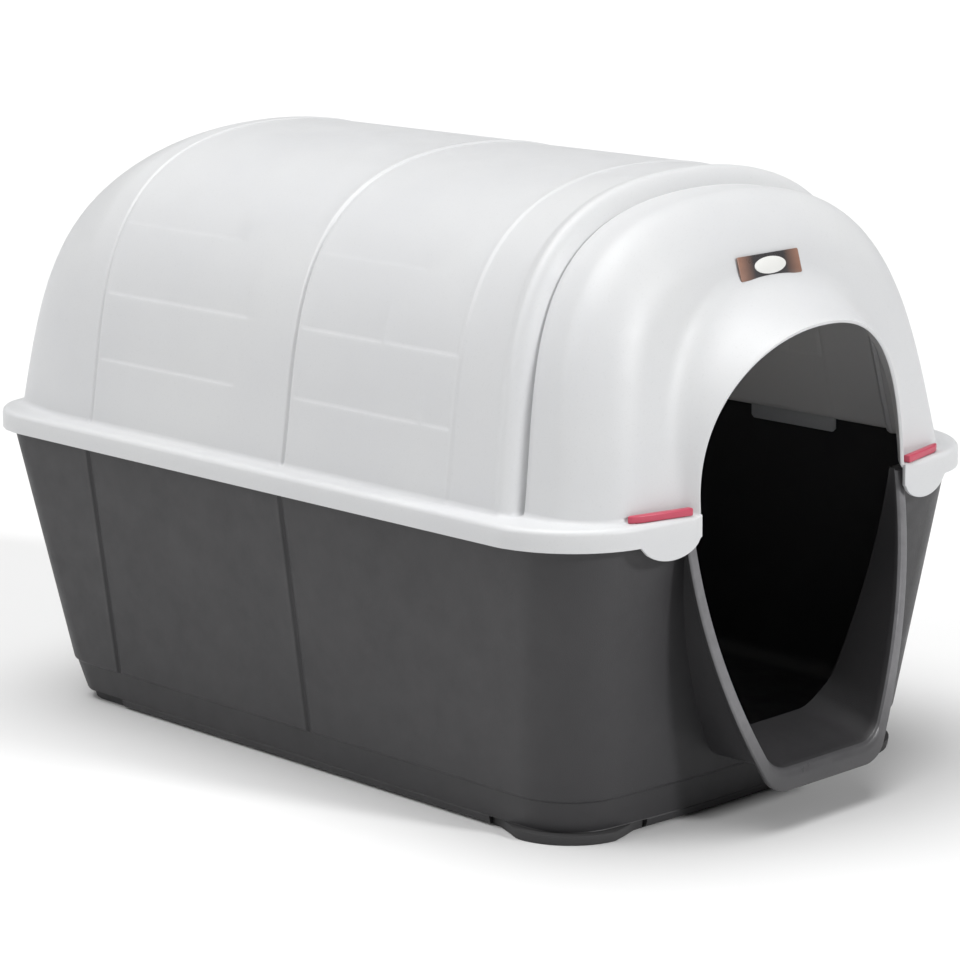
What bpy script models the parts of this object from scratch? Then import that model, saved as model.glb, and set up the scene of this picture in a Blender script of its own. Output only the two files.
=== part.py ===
"""Animal house in two plastic shells: a tapered tub and a vaulted roof that lifts off it.

Four keys drop through slots in the rim and hold the roof down. The door is an arch in the roof's
front, and its lower half is a trough that stands out of the tub. Metres, +Z up, front towards -Y.
"""
import bpy
import bmesh
from math import atan, cos, exp, pi, sin, sqrt, tan
from mathutils import Vector

# Overall
HALF_WIDTH = 0.370          # half the rim's width, the widest part
RIM_FRONT = -0.530          # front of the rim on the centre line
RIM_REAR = 0.560
CROWN_Z = 0.732
WALL = 0.004
GAP = 0.0003                # between pieces that touch

# Rim of the roof
RIM_LOW_Z = 0.357
RIM_TOP_Z = 0.382
RIM_FRONT_RADIUS = 0.106
RIM_REAR_RADIUS = 0.090
RIM_EDGE = 0.005            # rounding of the rim's top edge
FRONT_BOW = 0.0345          # how far the front falls back at the full half width

# Vault of the roof
FOOT_HALF_WIDTH = 0.3396
WALL_LEAN = 0.233
WALL_REACH = 0.163
SHOULDER_X = 0.313
ROOT = 0.012                # how far the vault's solids reach down into the rim
LINE_LEAN = 0.055           # the cross lines of the vault lean back by this much per metre
REAR_FACE_Y = 0.5374
REAR_SWELL = 0.1175         # the rear wall leans out at its foot, then curls in
REAR_CURL = 0.667
REAR_RADIUS_FOOT = 0.0336   # rounding of the rear wall's sides: across the house
REAR_RADIUS_GROWTH = 0.104
REAR_REACH_FOOT = 0.1377    # and along it
REAR_REACH_LOSS = 0.0285
REAR_REACH_CURL = 0.2006
REAR_POWER = 1.53
REAR_STEPS = 6
BARREL_Y = (0.30, 0.12, -0.06, -0.24)
STEP_Y = -0.381             # where the barrel steps down to the hood
STEP_LEAN = 0.0985
STEP_DEPTH = 0.020
STEP_SPAN = 0.012
HOOD_FACE_Y = -0.510
HOOD_LEAN = 0.110
HOOD_CURL = 0.360
HOOD_DEPTH = 0.086
HOOD_RADIUS = 0.065
WALL_SHRINK = (0.65, 0.3)   # rings that carry an end wall in towards its middle

# Door arch and its collar
DOOR_HALF = 0.172
DOOR_SPRING_Z = 0.3888
DOOR_RISE = 0.1847
DOOR_POWER = 2.13
DOOR_EDGE_Y = -0.5622       # front edge of the collar on the centre line, level with the rim's top
DOOR_EDGE_LEAN = 0.0668
DOOR_EDGE_BOW = 0.1859      # how far the edge falls back at the house's full half width
COLLAR_HALF = 0.193
COLLAR_SPRING_Z = 0.400
COLLAR_RISE = 0.212
COLLAR_POWER = 2.3
COLLAR_WALL = 0.005
COLLAR_ROOT = 0.012         # how far the collar runs on behind the hood's face
DOORWAY_REAR = -0.44

# Tabs beside the door
TAB_X = 0.2205
TAB_HALF = 0.041
TAB_DROP = 0.020
TAB_ROOT = 0.009            # how far a tab reaches up inside the rim
TAB_POWER = 1.2             # fullness of a tab's lower edge

# Keys and their slots
KEY_X = 0.228
KEY_SETBACK = 0.011         # from the rim's outer face to the blade's middle
KEY_HEAD = (0.083, 0.008, 0.008)
KEY_BLADE = (0.064, 0.003, 0.022)
KEY_TURN = 0.225            # turn in plan of the front keys
SLOT_ROOM = 0.001           # clearance of a slot around a blade, each way
SLOT_DEPTH = 0.02

# Tongues that locate the roof in the tub
TONGUE_FRONT = -0.280
TONGUE_REAR = -0.142
TONGUE_DROP = 0.010
TONGUE_CLEAR = 0.003

# Tub
TUB_SETBACK = 0.0212        # from the rim's outer face to the tub's wall, at the rim's lower edge
TUB_FRONT_RADIUS = 0.070
TUB_REAR_RADIUS = 0.051
SIDE_DRAFT = 0.134
FRONT_DRAFT = 0.153
REAR_DRAFT = 0.190
TUB_TOP_Z = RIM_TOP_Z - WALL - GAP
FLANGE_SETBACK = WALL + 0.001
FLANGE_DROP = 0.0002        # keeps the flange's top off the plane of the tub's top
SKIRT_LOW_Z = 0.003
SKIRT_TOP_Z = 0.052
SKIRT_INSET = 0.003
SKIRT_FOOT_INSET = 0.008
FLOOR_Z = 0.055
FLOOR_FILLET = 0.020
CLEAR_CUT = 0.01            # how far a cutter runs past the face it opens

# Porch trough
PORCH_FRONT = -0.560        # front edge at its bottom
PORCH_SLOPE = 0.1565        # the edge falls back by this much per metre going up
PORCH_HALF_LOW = 0.0924     # half width, from its bottom (share 0) to the tub's top (share 1)
PORCH_SPREAD = 0.1988
PORCH_CURL = 0.1012
PORCH_LOW_Z = 0.048
PORCH_CORNER = 0.040
PORCH_BAND = 0.007          # thickness of the front band
BAND_TOP = 0.013            # width of the band: least at its top, most across its bottom
BAND_FLARE = 0.008
BAND_LOW = 0.0265
TROUGH_ROOT = 0.014         # how far the trough runs in behind the tub's front wall
TROUGH_REAR = -0.42         # rear end of the opening cut through the wall
TROUGH_LEVELS = 5

# Foot pads
PAD_SIZE = 0.125
PAD_TOP_Z = 0.012
PAD_FRONT_INSET = -0.004    # the front pads stand out past the skirt, the rear ones sit in under it
PAD_REAR_INSET = 0.015
PAD_FRONT_SHIFT = 0.045     # the front pads start behind the tub's front by this much
PEG_RADIUS = 0.012

# Badge
BADGE_SIZE = (0.104, 0.0016, 0.028)
BADGE_Z = 0.632
BADGE_GAP = 0.001

ARCH_STEPS = 12             # from the foot to the crown
CORNER_STEPS = 6
FRONT_STEPS = 10
CAP_STEPS = 4
DOOR_STEPS = 20
TAB_STEPS = 12


# ---------------------------------------------------------------- helpers

def new_object(name, mesh, collection):
    """Link a mesh into a collection as an object."""
    thing = bpy.data.objects.new(name, mesh)
    collection.objects.link(thing)
    return thing


def loft(name, rings, collection):
    """A closed solid through rings with equal point counts, with a fan at each end."""
    mesh = bpy.data.meshes.new(name)
    form = bmesh.new()
    rows = [[form.verts.new(point) for point in ring] for ring in rings]
    count = len(rings[0])
    for row, following in zip(rows, rows[1:]):
        for i in range(count):
            j = (i + 1) % count
            form.faces.new((row[i], row[j], following[j], following[i]))
    for row in (rows[0], rows[-1]):
        hub = form.verts.new(sum((v.co for v in row), Vector()) / count)
        for i in range(count):
            form.faces.new((row[i], row[(i + 1) % count], hub))
    bmesh.ops.triangulate(form, faces=form.faces)
    bmesh.ops.recalc_face_normals(form, faces=form.faces)
    form.to_mesh(mesh)
    form.free()
    return new_object(name, mesh, collection)


def block(name, low, high, collection):
    """A box between two corners."""
    mesh = bpy.data.meshes.new(name)
    form = bmesh.new()
    bmesh.ops.create_cube(form, size=1)
    low, high = Vector(low), Vector(high)
    bmesh.ops.scale(form, vec=high - low, verts=form.verts)
    bmesh.ops.translate(form, vec=(low + high) / 2, verts=form.verts)
    form.to_mesh(mesh)
    form.free()
    return new_object(name, mesh, collection)


def as_cutter(thing):
    """Keep a helper solid out of the finished model."""
    thing.hide_render = True
    thing.display_type = 'WIRE'
    return thing


def combine(target, operation, tools):
    """Add one exact Boolean per tool to the target."""
    for tool in tools:
        as_cutter(tool)
        modifier = target.modifiers.new(f"{operation}_{tool.name}", 'BOOLEAN')
        modifier.operation = operation
        modifier.solver = 'EXACT'
        modifier.object = tool


def material(name, color, roughness):
    """A plain moulded-plastic material."""
    result = bpy.data.materials.new(name)
    result.use_nodes = True
    shader = result.node_tree.nodes["Principled BSDF"]
    shader.inputs["Base Color"].default_value = (*color, 1)
    shader.inputs["Roughness"].default_value = roughness
    shader.inputs["Metallic"].default_value = 0
    result.diffuse_color = (*color, 1)
    return result


# ---------------------------------------------------------------- shapes of the shells

def bow(x):
    """How far the front falls back at x."""
    return FRONT_BOW * (x / HALF_WIDTH) ** 2


def outline(half, front, rear, front_radius, rear_radius, z):
    """Rounded rectangle with a bowed front, as a closed ring at height z."""
    corners = (
        (half - rear_radius, rear - rear_radius, rear_radius, 0),
        (rear_radius - half, rear - rear_radius, rear_radius, 1),
        (front_radius - half, front + front_radius, front_radius, 2),
        (half - front_radius, front + front_radius, front_radius, 3),
    )
    ring = []
    for centre_x, centre_y, radius, quarter in corners:
        if quarter == 3:
            for step in range(1, FRONT_STEPS):
                x = -centre_x + 2 * centre_x * step / FRONT_STEPS
                ring.append(Vector((x, front + bow(x), z)))
        for step in range(CORNER_STEPS + 1):
            angle = (quarter + step / CORNER_STEPS) * pi / 2
            x = centre_x + radius * cos(angle)
            y = centre_y + radius * sin(angle)
            if quarter > 1:
                y += bow(x)
            ring.append(Vector((x, y, z)))
    return ring


def rim_ring(inset, z):
    """The rim's outline drawn in by an inset."""
    return outline(HALF_WIDTH - inset, RIM_FRONT + inset, RIM_REAR - inset,
                   RIM_FRONT_RADIUS - inset, RIM_REAR_RADIUS - inset, z)


def rim_front(x, inset=0.0):
    """Y of the rim's front face at x, drawn in by an inset."""
    radius = RIM_FRONT_RADIUS - inset
    beyond = max(0.0, abs(x) - (HALF_WIDTH - RIM_FRONT_RADIUS))
    return RIM_FRONT + inset + bow(x) + radius - sqrt(radius ** 2 - beyond ** 2)


def tub_front(z):
    """Y of the tub's front wall at height z, on the centre line."""
    return RIM_FRONT + TUB_SETBACK + (RIM_LOW_Z - z) * tan(FRONT_DRAFT)


def tub_ring(inset, z):
    """The tub's tapered outline at height z, drawn in by an inset."""
    drop = RIM_LOW_Z - z
    return outline(
        HALF_WIDTH - TUB_SETBACK - drop * tan(SIDE_DRAFT) - inset,
        tub_front(z) + inset,
        RIM_REAR - TUB_SETBACK - drop * tan(REAR_DRAFT) - inset,
        TUB_FRONT_RADIUS - inset, TUB_REAR_RADIUS - inset, z)


def vault_profile():
    """Half of the vault's cross-section, foot to crown, as points (x, z) with inward normals."""
    corners = (
        Vector((FOOT_HALF_WIDTH, RIM_TOP_Z)),
        Vector((FOOT_HALF_WIDTH - WALL_REACH * sin(WALL_LEAN), RIM_TOP_Z + WALL_REACH * cos(WALL_LEAN))),
        Vector((SHOULDER_X, CROWN_Z)),
        Vector((0, CROWN_Z)),
    )
    profile = []
    for step in range(ARCH_STEPS + 1):
        t = step / ARCH_STEPS
        s = 1 - t
        weights = (s ** 3, 3 * s * s * t, 3 * s * t * t, t ** 3)
        point = sum((w * c for w, c in zip(weights, corners)), Vector((0, 0)))
        legs = [b - a for a, b in zip(corners, corners[1:])]
        slope = s * s * legs[0] + 2 * s * t * legs[1] + t * t * legs[2]
        profile.append((point, Vector((-slope.y, slope.x)).normalized()))
    return profile


def vault_ring(y_at, inset_at, shrink=1.0):
    """A closed ring round the vault. y_at(x, h) and inset_at(h) take the height over the rim."""
    profile = vault_profile()
    drawn = [(point + inset_at(point.y - RIM_TOP_Z) * normal, point) for point, normal in profile]
    foot_z = drawn[0][0].y
    crown_z = drawn[-1][0].y
    side = []
    for point, _ in drawn:
        share = (point.y - foot_z) / (crown_z - foot_z)
        height = share * (crown_z - RIM_TOP_Z) * shrink
        x = point.x * shrink
        side.append(Vector((x, y_at(x, height), RIM_TOP_Z + height)))
    root = Vector((side[0].x, side[0].y, RIM_TOP_Z - ROOT))
    half = [root] + side
    mirrored = [Vector((-p.x, p.y, p.z)) for p in half[-2::-1]]
    return half + mirrored


def rear_face(x, height):
    """Y of the rear wall."""
    return REAR_FACE_Y + REAR_SWELL * height - REAR_CURL * height ** 2


def rear_radius(height):
    """Rounding between the barrel and the rear wall, measured across the house."""
    return REAR_RADIUS_FOOT + REAR_RADIUS_GROWTH * height


def rear_reach(height):
    """The same rounding measured along the house."""
    return REAR_REACH_FOOT - REAR_REACH_LOSS * height - REAR_REACH_CURL * height ** 2


def hood_face(x, height):
    """Y of the hood's front wall."""
    return HOOD_FACE_Y + HOOD_LEAN * height + HOOD_CURL * height ** 2 + bow(x)


def vault_solid(name, thickness, collection):
    """The vault drawn in by a thickness all over: the outer form at 0, the cavity at WALL."""
    rings = []
    for shrink in reversed(WALL_SHRINK):
        rings.append(vault_ring(lambda x, h: rear_face(x, h) - thickness,
                                lambda h: rear_radius(h) + thickness, shrink))
    for step in range(REAR_STEPS, -1, -1):
        angle = pi / 2 * step / REAR_STEPS
        along = 1 - sin(angle) ** (2 / REAR_POWER)
        across = 1 - max(cos(angle), 0) ** (2 / REAR_POWER)
        rings.append(vault_ring(
            lambda x, h: rear_face(x, h) - rear_reach(h) * along - thickness * (1 - along),
            lambda h: rear_radius(h) * across + thickness))
    for y in BARREL_Y:
        rings.append(vault_ring(lambda x, h: y + LINE_LEAN * h, lambda h: thickness))
    for y, inset in ((STEP_Y + STEP_SPAN / 2, 0), (STEP_Y - STEP_SPAN / 2, STEP_DEPTH)):
        rings.append(vault_ring(lambda x, h: y + thickness / 2 + STEP_LEAN * h,
                                lambda h: inset + thickness))
    for step in range(CAP_STEPS + 1):
        angle = pi / 2 * step / CAP_STEPS
        lean = STEP_LEAN + (HOOD_LEAN - STEP_LEAN) * sin(angle)
        inset = STEP_DEPTH + HOOD_RADIUS * (1 - cos(angle)) + thickness
        rings.append(vault_ring(
            lambda x, h: (HOOD_FACE_Y + HOOD_DEPTH * (1 - sin(angle)) + lean * h
                          + (HOOD_CURL * h ** 2 + bow(x)) * sin(angle) + thickness),
            lambda h: inset))
    for shrink in WALL_SHRINK:
        rings.append(vault_ring(
            lambda x, h: hood_face(x, h) + thickness,
            lambda h: STEP_DEPTH + HOOD_RADIUS + thickness, shrink))
    return loft(name, rings, collection)


def arch_ring(half, spring_z, rise, power, low_z, y_at):
    """A closed ring round an arch: legs up from low_z, then a superellipse over the top."""
    ring = [Vector((-half, y_at(-half, low_z), low_z))]
    for step in range(DOOR_STEPS + 1):
        angle = pi * (1 - step / DOOR_STEPS)
        across, up = cos(angle), sin(angle)
        x = half * abs(across) ** (2 / power) * (1 if across > 0 else -1)
        z = spring_z + rise * max(up, 0) ** (2 / power)
        ring.append(Vector((x, y_at(x, z), z)))
    ring.append(Vector((half, y_at(half, low_z), low_z)))
    return ring


def door_edge(x, z):
    """Y of the collar's front edge."""
    return DOOR_EDGE_Y + DOOR_EDGE_LEAN * (z - RIM_TOP_Z) + DOOR_EDGE_BOW * (x / HALF_WIDTH) ** 2


def door_ring(grow, low_z, y_at):
    """The door's arch grown by a margin."""
    return arch_ring(DOOR_HALF + grow, DOOR_SPRING_Z, DOOR_RISE + grow, DOOR_POWER, low_z, y_at)


def collar_ring(grow, low_z, y_at):
    """The arch where the collar meets the hood, grown by a margin."""
    return arch_ring(COLLAR_HALF + grow, COLLAR_SPRING_Z, COLLAR_RISE + grow, COLLAR_POWER, low_z, y_at)


# ---------------------------------------------------------------- pieces

def slot_positions():
    """Name, place and turn in plan of each key."""
    rear_y = RIM_REAR - KEY_SETBACK
    front_y = rim_front(KEY_X, KEY_SETBACK)
    return (
        ("lock_key_front_left", -KEY_X, front_y, -KEY_TURN),
        ("lock_key_front_right", KEY_X, front_y, KEY_TURN),
        ("lock_key_rear_left", -KEY_X, rear_y, 0.0),
        ("lock_key_rear_right", KEY_X, rear_y, 0.0),
    )


def slot_cutters(label, collection):
    """Cutters for the four key slots."""
    cutters = []
    for name, x, y, turn in slot_positions():
        half_long = KEY_BLADE[0] / 2 + SLOT_ROOM
        half_thick = KEY_BLADE[1] / 2 + SLOT_ROOM
        cutter = block(f"{label}_{name}", (-half_long, -half_thick, -SLOT_DEPTH),
                       (half_long, half_thick, SLOT_DEPTH), collection)
        cutter.location = (x, y, RIM_TOP_Z)
        cutter.rotation_euler.z = turn
        cutters.append(cutter)
    return cutters


def tab(name, side, collection):
    """A rounded tab that hangs from the rim beside the door and follows its bow."""
    rings = []
    high = RIM_LOW_Z + TAB_ROOT
    for step in range(TAB_STEPS + 1):
        along = -1 + 2 * step / TAB_STEPS
        x = side * (TAB_X + along * TAB_HALF)
        low = RIM_LOW_Z + SLOT_ROOM - TAB_DROP * sqrt(1 - along ** 2) ** TAB_POWER
        front = rim_front(x, GAP)
        back = rim_front(x, WALL)
        rings.append([Vector((x, front, low)), Vector((x, back, low)),
                      Vector((x, back, high)), Vector((x, front, high))])
    return loft(name, rings, collection)


def roof_shell(collection, tools):
    """The vault, its rim, the door's collar, tabs and tongues as one moulding."""
    roof = vault_solid("roof_shell", 0.0, collection)
    rim = loft("rim", [rim_ring(0, RIM_LOW_Z), rim_ring(0, RIM_TOP_Z - RIM_EDGE),
                       rim_ring(RIM_EDGE / 3, RIM_TOP_Z - RIM_EDGE / 3),
                       rim_ring(RIM_EDGE, RIM_TOP_Z)], tools)
    collar = loft("collar", [
        door_ring(COLLAR_WALL, RIM_TOP_Z - ROOT, door_edge),
        collar_ring(0, RIM_TOP_Z - ROOT, lambda x, z: hood_face(x, z - RIM_TOP_Z) - 0.001),
        collar_ring(0, RIM_TOP_Z - ROOT, lambda x, z: hood_face(x, z - RIM_TOP_Z) + COLLAR_ROOT),
    ], tools)
    tabs = [tab("tab_left", -1, tools), tab("tab_right", 1, tools)]
    combine(roof, 'UNION', [rim, collar, *tabs])

    cavity = vault_solid("roof_cavity", WALL, tools)
    pocket = loft("rim_pocket", [rim_ring(WALL, RIM_LOW_Z - CLEAR_CUT),
                                 rim_ring(WALL, RIM_TOP_Z - WALL)], tools)
    tunnel = loft("tunnel", [
        door_ring(0, RIM_TOP_Z + 0.001, lambda x, z: door_edge(x, z) - 0.02),
        door_ring(0, RIM_TOP_Z + 0.001, lambda x, z: door_edge(x, z) + WALL),
        collar_ring(-COLLAR_WALL, RIM_TOP_Z + 0.001,
                    lambda x, z: hood_face(x, z - RIM_TOP_Z) + 0.0005),
        collar_ring(-COLLAR_WALL, RIM_TOP_Z + 0.001, lambda x, z: TROUGH_REAR),
    ], tools)
    doorway = loft("doorway", [
        door_ring(0, RIM_LOW_Z - TAB_DROP - CLEAR_CUT, lambda x, z: PORCH_FRONT),
        door_ring(0, RIM_LOW_Z - TAB_DROP - CLEAR_CUT, lambda x, z: DOORWAY_REAR),
    ], tools)
    combine(roof, 'DIFFERENCE', [cavity, pocket, tunnel, doorway, *slot_cutters("roof_slot", tools)])

    tongues = []
    for side in (-1, 1):
        outer = HALF_WIDTH - TUB_SETBACK - WALL - TONGUE_CLEAR
        low = (min(side * outer, side * (outer - WALL)), TONGUE_FRONT, RIM_TOP_Z - WALL - TONGUE_DROP)
        high = (max(side * outer, side * (outer - WALL)), TONGUE_REAR, RIM_TOP_Z - WALL / 2)
        tongues.append(block(f"tongue_{'left' if side < 0 else 'right'}", low, high, tools))
    combine(roof, 'UNION', tongues)
    return roof


def porch_ring(grow, band, top_z, y_at):
    """The trough's section: a tapered U closed at top_z. band moves it from the outer to the
    inner outline of the front band."""
    def width_at(z):
        share = (z - PORCH_LOW_Z) / (TUB_TOP_Z - PORCH_LOW_Z)
        outer = PORCH_HALF_LOW + PORCH_SPREAD * share - PORCH_CURL * share ** 2
        return outer - band * (BAND_TOP + BAND_FLARE * exp(-2 * share)) + grow

    low = PORCH_LOW_Z + band * BAND_LOW - grow
    half = []
    for step in range(TROUGH_LEVELS + 1):
        z = top_z - (top_z - low - PORCH_CORNER) * step / TROUGH_LEVELS
        half.append(Vector((width_at(z), z)))
    corner = Vector((half[-1].x - PORCH_CORNER, low + PORCH_CORNER))
    for step in range(1, CORNER_STEPS + 1):
        angle = pi / 2 * step / CORNER_STEPS
        half.append(corner + PORCH_CORNER * Vector((cos(angle), -sin(angle))))
    ring = [Vector((p.x, y_at(p.y), p.y)) for p in half]
    return ring + [Vector((-p.x, p.y, p.z)) for p in reversed(ring)]


def porch_edge(z):
    """Y of the trough's front edge at height z."""
    return PORCH_FRONT + PORCH_SLOPE * (z - PORCH_LOW_Z)


def base_tub(collection, tools):
    """The tub with its top flange, skirt and porch trough as one moulding."""
    tub = loft("base_tub", [
        tub_ring(SKIRT_FOOT_INSET, SKIRT_LOW_Z), tub_ring(SKIRT_INSET, SKIRT_TOP_Z),
        tub_ring(0, SKIRT_TOP_Z + SKIRT_INSET), tub_ring(0, TUB_TOP_Z),
    ], collection)
    flange = loft("flange", [rim_ring(FLANGE_SETBACK, TUB_TOP_Z - WALL),
                             rim_ring(FLANGE_SETBACK, TUB_TOP_Z - FLANGE_DROP)], tools)
    trough_top = TUB_TOP_Z - WALL / 2
    band = loft("porch_band", [
        porch_ring(0, 0, trough_top, porch_edge),
        porch_ring(0, 0, trough_top, lambda z: porch_edge(z) + PORCH_BAND),
    ], tools)
    chute = loft("porch_chute", [
        porch_ring(WALL, 1, trough_top, lambda z: porch_edge(z) + PORCH_BAND / 2),
        porch_ring(WALL, 1, trough_top, lambda z: tub_front(z) + TROUGH_ROOT),
    ], tools)
    combine(tub, 'UNION', [flange, band, chute])

    cavity = loft("tub_cavity", [
        tub_ring(WALL + FLOOR_FILLET, FLOOR_Z),
        tub_ring(WALL + FLOOR_FILLET * 0.3, FLOOR_Z + FLOOR_FILLET * 0.3),
        tub_ring(WALL, FLOOR_Z + FLOOR_FILLET), tub_ring(WALL, TUB_TOP_Z + CLEAR_CUT),
    ], tools)
    under = loft("underside", [tub_ring(SKIRT_FOOT_INSET + WALL, SKIRT_LOW_Z - CLEAR_CUT),
                               tub_ring(SKIRT_INSET + WALL, FLOOR_Z - WALL)], tools)
    passage = loft("passage", [
        porch_ring(0, 1, TUB_TOP_Z + CLEAR_CUT, lambda z: PORCH_FRONT - CLEAR_CUT),
        porch_ring(0, 1, TUB_TOP_Z + CLEAR_CUT, lambda z: TROUGH_REAR),
    ], tools)
    corners = [block(f"pad_room_{x}_{y}", *pad_box(x, y, SLOT_ROOM, PAD_TOP_Z + GAP), tools)
               for x in (-1, 1) for y in (-1, 1)]
    combine(tub, 'DIFFERENCE', [cavity, under, passage, *corners, *slot_cutters("tub_slot", tools)])
    return tub


def pad_box(side, end, grow, top):
    """Corners of the box that a foot pad fills, grown by a margin."""
    half = HALF_WIDTH - TUB_SETBACK
    drop = RIM_LOW_Z * tan(FRONT_DRAFT if end < 0 else REAR_DRAFT)
    edge = (RIM_FRONT + drop + PAD_FRONT_SHIFT) if end < 0 else (RIM_REAR - drop)
    inner_x = side * (half - RIM_LOW_Z * tan(SIDE_DRAFT) - PAD_SIZE - grow)
    outer_x = side * (half + PAD_SIZE)
    inner_y = edge - end * (PAD_SIZE + grow)
    outer_y = edge + end * PAD_SIZE
    return ((min(inner_x, outer_x), min(inner_y, outer_y), -CLEAR_CUT),
            (max(inner_x, outer_x), max(inner_y, outer_y), top))


def foot_pad(name, side, end, collection, tools):
    """A rubber pad under one corner of the tub, with a peg that stands up inside the skirt."""
    inset = PAD_FRONT_INSET if end < 0 else PAD_REAR_INSET
    pad = loft(name, [tub_ring(inset, 0), tub_ring(inset, PAD_TOP_Z)], collection)
    limits = block(f"{name}_limits", *pad_box(side, end, 0, PAD_TOP_Z + CLEAR_CUT), tools)
    combine(pad, 'INTERSECT', [limits])
    low, high = pad_box(side, end, 0, 0)
    peg_x = (low[0] if side > 0 else high[0]) + side * PAD_SIZE / 2
    peg_y = (low[1] if end > 0 else high[1]) + end * PAD_SIZE / 2
    mesh = bpy.data.meshes.new(f"{name}_peg")
    form = bmesh.new()
    height = FLOOR_Z - WALL - GAP - PAD_TOP_Z / 2
    bmesh.ops.create_cone(form, cap_ends=True, segments=16, radius1=PEG_RADIUS, radius2=PEG_RADIUS,
                          depth=height)
    form.to_mesh(mesh)
    form.free()
    peg = new_object(f"{name}_peg", mesh, tools)
    peg.location = (peg_x, peg_y, PAD_TOP_Z / 2 + height / 2)
    combine(pad, 'UNION', [peg])
    return pad


def lock_key(name, x, y, turn, collection, tools):
    """A key: a bar that lies on the rim and a blade that goes down through both slots."""
    long, deep, tall = KEY_HEAD
    blade_long, blade_thick, blade_deep = KEY_BLADE
    key = block(name, (-long / 2, -deep / 2, GAP), (long / 2, deep / 2, tall + GAP), collection)
    blade = block(f"{name}_blade", (-blade_long / 2, -blade_thick / 2, -blade_deep),
                  (blade_long / 2, blade_thick / 2, tall / 2), tools)
    for item in (key, blade):
        item.location = (x, y, RIM_TOP_Z)
        item.rotation_euler.z = turn
    combine(key, 'UNION', [blade])
    return key


def name_badge(collection):
    """A blank plate on the hood over the door, tilted with the hood's face."""
    wide, thick, tall = BADGE_SIZE
    height = BADGE_Z - RIM_TOP_Z
    badge = block("name_badge", (-wide / 2, -thick - BADGE_GAP, -tall / 2),
                  (wide / 2, -BADGE_GAP, tall / 2), collection)
    badge.location = (0, hood_face(0, height), BADGE_Z)
    badge.rotation_euler.x = -atan(HOOD_LEAN + 2 * HOOD_CURL * height)
    return badge


def build():
    """Make every piece."""
    for thing in list(bpy.data.objects):
        bpy.data.objects.remove(thing, do_unlink=True)
    house = bpy.data.collections.new("animal_house")
    tools = bpy.data.collections.new("cutters")
    for collection in (house, tools):
        bpy.context.scene.collection.children.link(collection)

    white = material("roof_plastic", (0.66, 0.67, 0.68), 0.5)
    charcoal = material("tub_plastic", (0.055, 0.057, 0.062), 0.55)
    red = material("key_plastic", (0.56, 0.06, 0.10), 0.4)
    rubber = material("pad_rubber", (0.03, 0.03, 0.032), 0.8)
    plate = material("badge_plate", (0.10, 0.08, 0.07), 0.35)

    roof_shell(house, tools).data.materials.append(white)
    base_tub(house, tools).data.materials.append(charcoal)
    for place in slot_positions():
        lock_key(*place, house, tools).data.materials.append(red)
    for side, side_name in ((-1, "left"), (1, "right")):
        for end, end_name in ((-1, "front"), (1, "rear")):
            pad = foot_pad(f"foot_pad_{end_name}_{side_name}", side, end, house, tools)
            pad.data.materials.append(rubber)
    name_badge(house).data.materials.append(plate)


build()
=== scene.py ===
"""Looks of the two-shell animal house.

Both shells, the keys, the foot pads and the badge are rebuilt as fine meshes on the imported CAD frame.
Metres, +Z up, the doorway faces -Y. A shell is one grid of quads: rows run along the length of the
house, columns run round it, and relief such as seams and boards is a displacement of that grid.
"""

import bmesh
import bpy
import numpy as np
from math import atan, cos, pi, radians, sin, sqrt, tan
from mathutils import Matrix, Vector


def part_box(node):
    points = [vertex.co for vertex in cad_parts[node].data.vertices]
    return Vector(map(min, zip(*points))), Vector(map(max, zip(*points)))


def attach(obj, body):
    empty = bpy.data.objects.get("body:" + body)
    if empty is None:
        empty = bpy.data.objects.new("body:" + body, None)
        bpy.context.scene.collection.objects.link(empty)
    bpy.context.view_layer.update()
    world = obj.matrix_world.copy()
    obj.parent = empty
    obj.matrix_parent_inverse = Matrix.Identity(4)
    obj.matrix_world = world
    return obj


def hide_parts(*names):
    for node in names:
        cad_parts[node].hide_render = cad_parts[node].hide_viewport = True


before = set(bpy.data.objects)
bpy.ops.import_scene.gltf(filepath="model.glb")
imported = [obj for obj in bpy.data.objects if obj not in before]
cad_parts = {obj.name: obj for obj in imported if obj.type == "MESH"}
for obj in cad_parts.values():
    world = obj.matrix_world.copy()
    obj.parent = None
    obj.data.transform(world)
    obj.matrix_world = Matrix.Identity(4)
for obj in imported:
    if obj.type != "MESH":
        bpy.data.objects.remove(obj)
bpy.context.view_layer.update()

# ---------------------------------------------------------------- sizes shared with the CAD
roof_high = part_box("roof_shell")[1]
tub_low, tub_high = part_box("base_tub")
HALF_WIDTH = roof_high.x
RIM_REAR = roof_high.y
RIM_FRONT = -0.530
CROWN_Z = roof_high.z
WALL = 0.004
RIM_LOW_Z = 0.357
RIM_TOP_Z = 0.382
RIM_FRONT_RADIUS = 0.106
RIM_REAR_RADIUS = 0.090
RIM_EDGE = 0.006
FRONT_BOW = 0.0345

FOOT_HALF_WIDTH = 0.3396
WALL_LEAN = 0.233
WALL_REACH = 0.163
SHOULDER_X = 0.313
LINE_LEAN = 0.055
REAR_FACE_Y = 0.5374
REAR_SWELL = 0.1175
REAR_CURL = 0.667
REAR_RADIUS_FOOT = 0.0336
REAR_RADIUS_GROWTH = 0.104
REAR_REACH_FOOT = 0.1377
REAR_REACH_LOSS = 0.0285
REAR_REACH_CURL = 0.2006
REAR_POWER = 1.53
REAR_PANEL_SINK = 0.0015
STEP_Y = -0.381
STEP_LEAN = 0.0985
STEP_DEPTH = 0.020
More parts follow.
